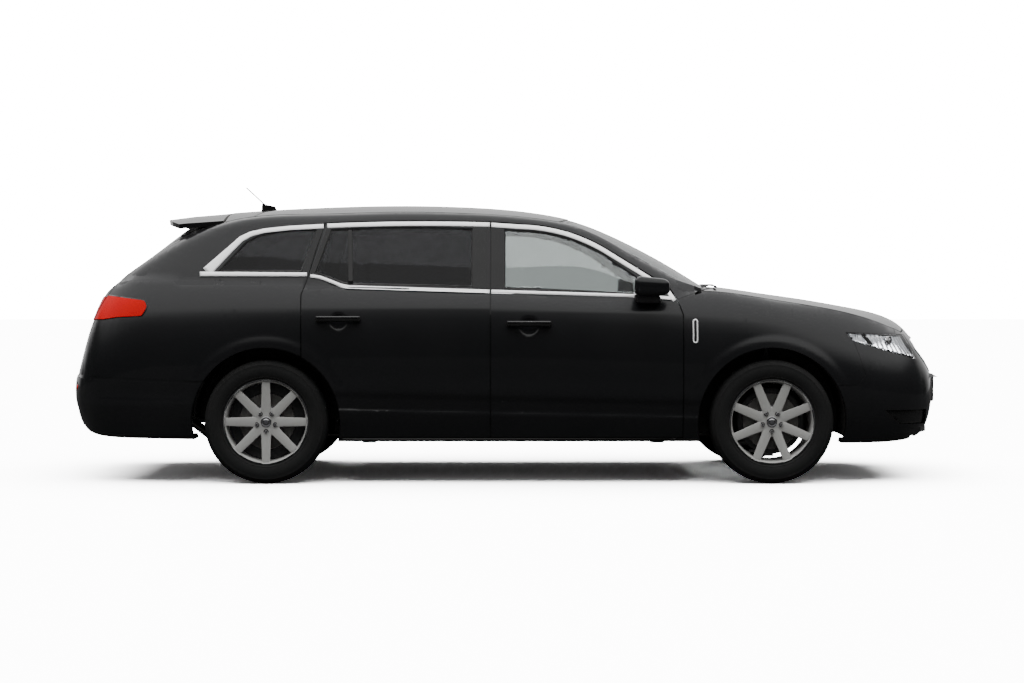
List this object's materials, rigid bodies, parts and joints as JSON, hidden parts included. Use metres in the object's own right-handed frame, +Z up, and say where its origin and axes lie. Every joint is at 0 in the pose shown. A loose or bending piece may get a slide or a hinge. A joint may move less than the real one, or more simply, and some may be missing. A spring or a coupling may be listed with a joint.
{
  "type": "limousine",
  "caption": "Long black livery limousine with a wagon body: hinged doors, bonnet and tailgate, steered front wheels, free-turning alloy wheels and a furnished cabin.",
  "frame": {"origin": "on the ground under the middle of the car's box", "axes": "+X forward, +Y to the car's left, +Z up"},
  "size_m": [5.2802, 2.172, 1.7928],
  "materials": {
    "body_paint": "gloss",
    "bumper_paint": "gloss",
    "clear_glass": "polished",
    "privacy_glass": "polished",
    "lamp_lens": "polished",
    "tail_lens": "polished",
    "black_plastic": "matte",
    "bright_grille": "polished",
    "steel_floor": "satin",
    "cast_arms": "rough",
    "exhaust_steel": "satin",
    "engine_alloy": "cast",
    "seat_leather": "satin",
    "alloy": "machined",
    "tyre": "matte"
  },
  "bodies": {
    "chassis": {"underbody": "steel_floor", "body_side_left": "body_paint", "body_side_right": "body_paint", "roof_panel": "body_paint", "windscreen": "clear_glass", "quarter_glass": "privacy_glass", "front_fenders": "body_paint", "front_bumper": "bumper_paint", "rear_bumper": "bumper_paint", "grille": "bright_grille", "headlamps": "lamp_lens", "tail_lamps": "tail_lens", "engine_block": "engine_alloy", "front_suspension": "cast_arms", "rear_suspension": "cast_arms", "exhaust": "exhaust_steel", "front_seats": "seat_leather", "rear_seats": "seat_leather", "dashboard": "black_plastic", "steering_wheel": "black_plastic", "antenna": "black_plastic", "cowl": "black_plastic"},
    "hood": {"hood": "body_paint"},
    "tailgate": {"tailgate": "body_paint", "tailgate_glass": "privacy_glass", "tailgate_lamp": "tail_lens"},
    "knuckle_left": {"knuckle_left": "cast_arms"},
    "knuckle_right": {"knuckle_right": "cast_arms"},
    "front_door_left": {"front_door_left": "body_paint", "front_door_glass_left": "clear_glass", "mirror_left": "body_paint"},
    "rear_door_left": {"rear_door_left": "body_paint", "rear_door_glass_left": "privacy_glass"},
    "wheel_front_left": {"wheel_front_left": "alloy", "tyre_front_left": "tyre"},
    "wheel_rear_left": {"wheel_rear_left": "alloy", "tyre_rear_left": "tyre"},
    "front_door_right": {"front_door_right": "body_paint", "front_door_glass_right": "clear_glass", "mirror_right": "body_paint"},
    "rear_door_right": {"rear_door_right": "body_paint", "rear_door_glass_right": "privacy_glass"},
    "wheel_front_right": {"wheel_front_right": "alloy", "tyre_front_right": "tyre"},
    "wheel_rear_right": {"wheel_rear_right": "alloy", "tyre_rear_right": "tyre"}
  },
  "joints": [
    {"name": "front_door_left_hinge", "type": "hinge", "parent": "chassis", "child": "front_door_left", "pos_m": [1.012, 0.956, 0.65], "axis": [0, 0, -1], "range_deg": [0, 65]},
    {"name": "rear_door_left_hinge", "type": "hinge", "parent": "chassis", "child": "rear_door_left", "pos_m": [-0.128, 0.96, 0.65], "axis": [0, 0, -1], "range_deg": [0, 65]},
    {"name": "steer_left", "type": "hinge", "parent": "chassis", "child": "knuckle_left", "pos_m": [1.572, 0.8, 0.368], "axis": [0, 0, 1], "range_deg": [-33, 33]},
    {"name": "front_wheel_left_spin", "type": "hinge", "parent": "knuckle_left", "child": "wheel_front_left", "pos_m": [1.572, 0.83, 0.368], "axis": [0, 1, 0], "continuous": true},
    {"name": "rear_wheel_left_spin", "type": "hinge", "parent": "chassis", "child": "wheel_rear_left", "pos_m": [-1.423, 0.83, 0.368], "axis": [0, 1, 0], "continuous": true},
    {"name": "front_door_right_hinge", "type": "hinge", "parent": "chassis", "child": "front_door_right", "pos_m": [1.012, -0.956, 0.65], "axis": [0, 0, 1], "range_deg": [0, 65]},
    {"name": "rear_door_right_hinge", "type": "hinge", "parent": "chassis", "child": "rear_door_right", "pos_m": [-0.128, -0.96, 0.65], "axis": [0, 0, 1], "range_deg": [0, 65]},
    {"name": "steer_right", "type": "hinge", "parent": "chassis", "child": "knuckle_right", "pos_m": [1.572, -0.8, 0.368], "axis": [0, 0, 1], "range_deg": [-33, 33]},
    {"name": "front_wheel_right_spin", "type": "hinge", "parent": "knuckle_right", "child": "wheel_front_right", "pos_m": [1.572, -0.83, 0.368], "axis": [0, 1, 0], "continuous": true},
    {"name": "rear_wheel_right_spin", "type": "hinge", "parent": "chassis", "child": "wheel_rear_right", "pos_m": [-1.423, -0.83, 0.368], "axis": [0, 1, 0], "continuous": true},
    {"name": "hood_hinge", "type": "hinge", "parent": "chassis", "child": "hood", "pos_m": [1.18, 0, 1.166], "axis": [0, -1, 0], "range_deg": [0, 60]},
    {"name": "tailgate_hinge", "type": "hinge", "parent": "chassis", "child": "tailgate", "pos_m": [-1.712, 0, 1.634], "axis": [0, 1, 0], "range_deg": [0, 80]}
  ],
  "couplings": [
    {"joint": "steer_left", "follows": "steer_right", "ratio": 1}
  ]
}
